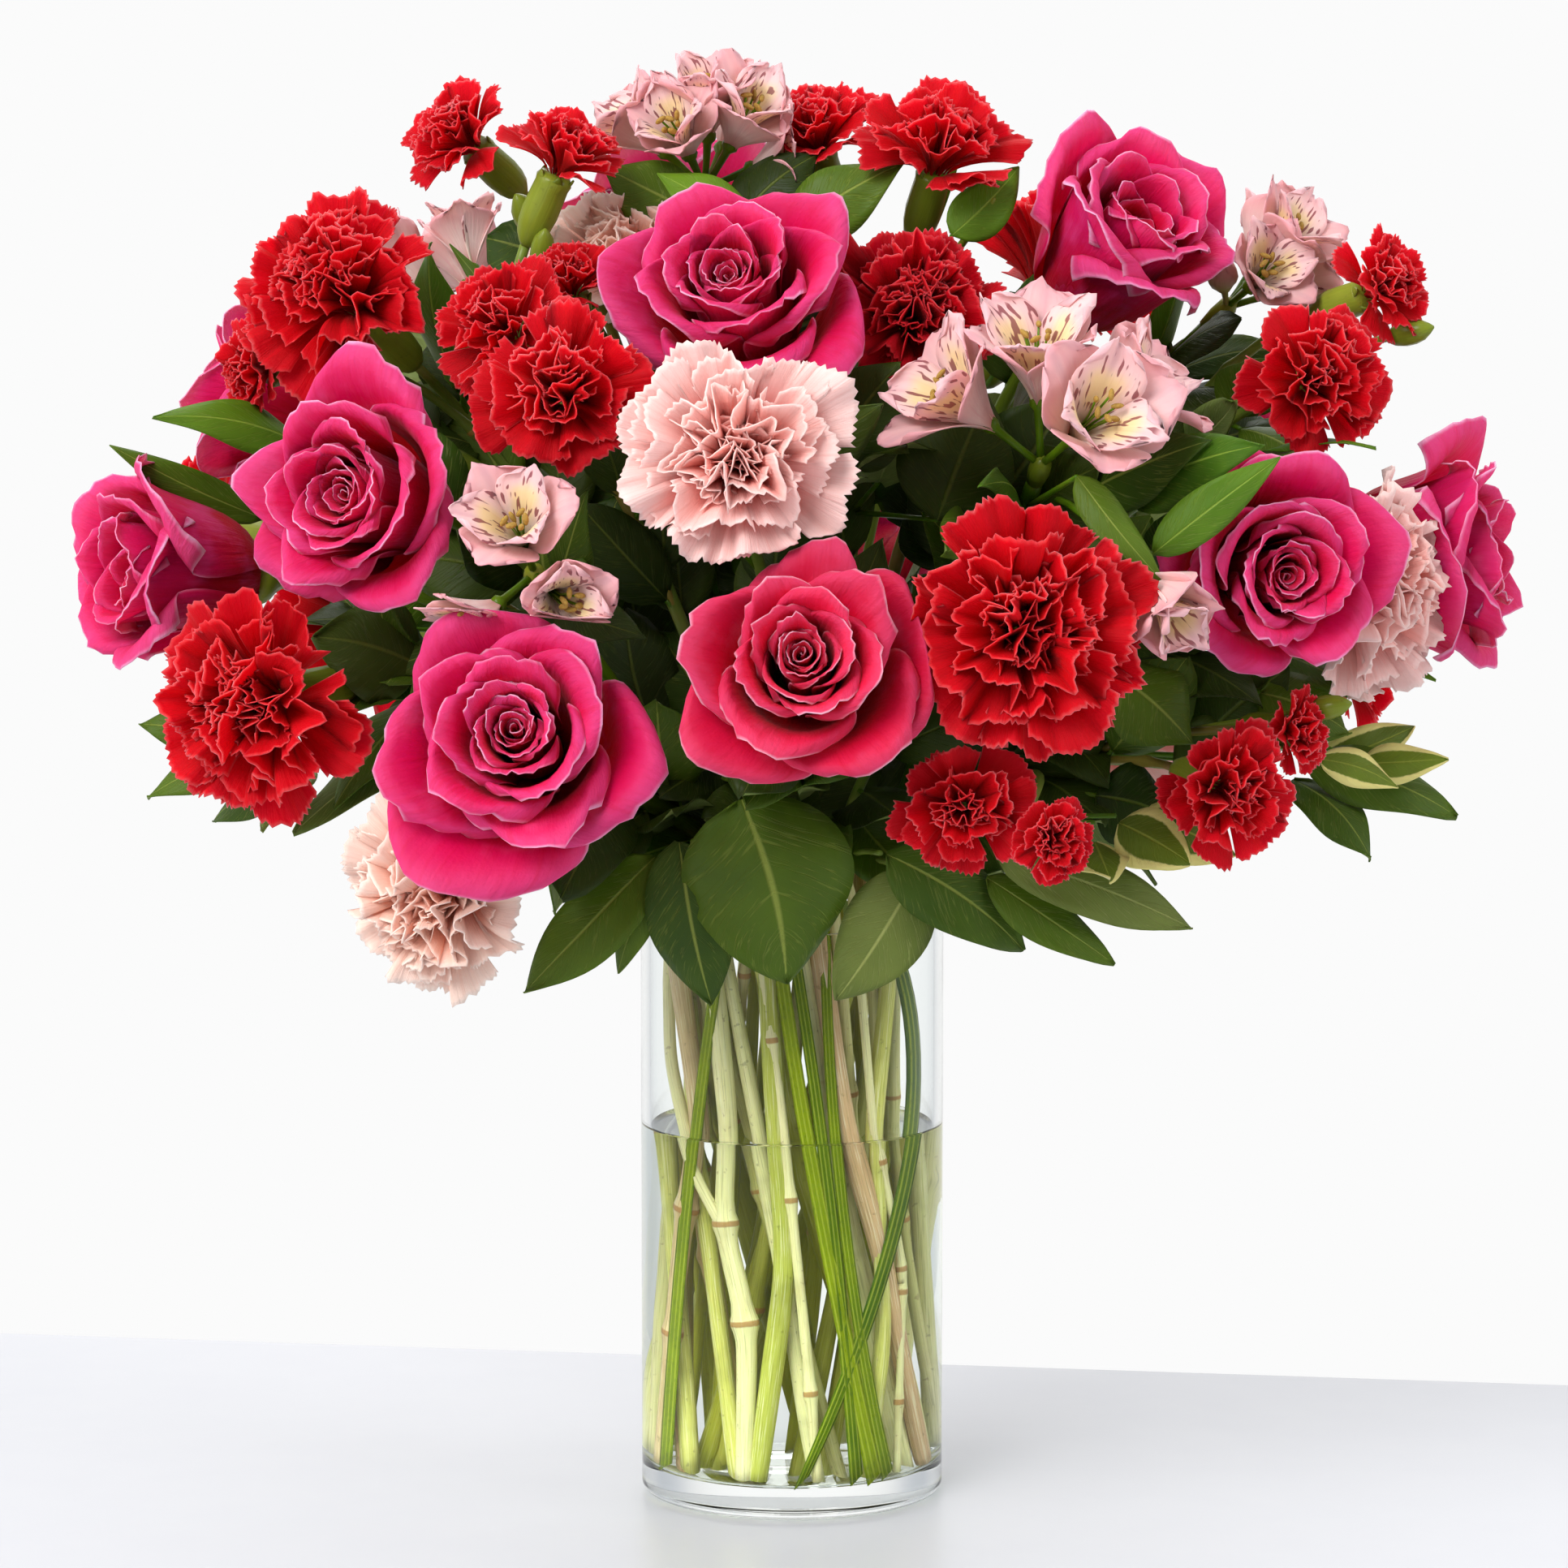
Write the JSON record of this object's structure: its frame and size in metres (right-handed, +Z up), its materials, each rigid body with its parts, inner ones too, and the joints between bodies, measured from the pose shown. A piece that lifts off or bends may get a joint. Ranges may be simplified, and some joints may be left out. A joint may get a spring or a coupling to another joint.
{
  "type": "flower bouquet in a glass vase",
  "caption": "Round mixed bouquet of roses, carnations, spray carnations and alstroemeria with leaves, standing in a clear glass cylinder vase partly filled with water.",
  "frame": {"origin": "centre of the vase's flat underside", "axes": "+Z up along the vase's axis, -Y towards the front that the picture shows, +X to the right as seen from the front"},
  "size_m": [0.4631, 0.3786, 0.4872],
  "materials": {
    "glass": "clear polished glass",
    "water": "clear still water",
    "green_stem": "smooth fresh green stem, slightly waxy",
    "green_leaf": "fresh leaf, satin",
    "rose_petal": "velvety hot pink petal with lilac rims",
    "red_petal": "velvety red petal with toothed rims",
    "pink_petal": "velvety pale salmon pink petal",
    "alstroemeria_petal": "satin pale pink petal with darker streaks"
  },
  "bodies": {
    "root": {"glass_vase": "glass", "water": "water", "stems": "green_stem", "rose_01": "rose_petal", "rose_02": "rose_petal", "rose_03": "rose_petal", "rose_04": "rose_petal", "rose_05": "rose_petal", "rose_06": "rose_petal", "rose_07": "rose_petal", "rose_08": "rose_petal", "rose_09": "rose_petal", "rose_10": "rose_petal", "rose_11": "rose_petal", "rose_12": "rose_petal", "rose_13": "rose_petal", "red_carnation_01": "red_petal", "red_carnation_02": "red_petal", "red_carnation_03": "red_petal", "red_carnation_04": "red_petal", "red_carnation_05": "red_petal", "red_carnation_06": "red_petal", "red_carnation_07": "red_petal", "pink_carnation_01": "pink_petal", "pink_carnation_02": "pink_petal", "pink_carnation_03": "pink_petal", "pink_carnation_04": "pink_petal", "pink_carnation_05": "pink_petal", "pink_carnation_06": "pink_petal", "spray_carnation_01": "red_petal", "spray_carnation_02": "red_petal", "spray_carnation_03": "red_petal", "spray_carnation_04": "red_petal", "spray_carnation_05": "red_petal", "spray_carnation_06": "red_petal", "spray_carnation_07": "red_petal", "spray_carnation_08": "red_petal", "spray_carnation_09": "red_petal", "spray_carnation_10": "red_petal", "spray_carnation_11": "red_petal", "spray_carnation_12": "red_petal", "spray_carnation_13": "red_petal", "spray_carnation_14": "red_petal", "spray_carnation_15": "red_petal", "spray_carnation_16": "red_petal", "spray_carnation_17": "red_petal", "alstroemeria_01_umbel": "alstroemeria_petal", "alstroemeria_02_umbel": "alstroemeria_petal", "alstroemeria_03_umbel": "alstroemeria_petal", "alstroemeria_04_umbel": "alstroemeria_petal", "alstroemeria_05_umbel": "alstroemeria_petal", "alstroemeria_06_umbel": "alstroemeria_petal", "collar_leaves_front_left": "green_leaf", "collar_leaves_front_right": "green_leaf", "variegated_sprig_right": "green_leaf", "lance_leaves_right": "green_leaf", "lance_leaves_left": "green_leaf", "collar_leaves_back_left": "green_leaf", "collar_leaves_back_right": "green_leaf"}
  },
  "joints": []
}
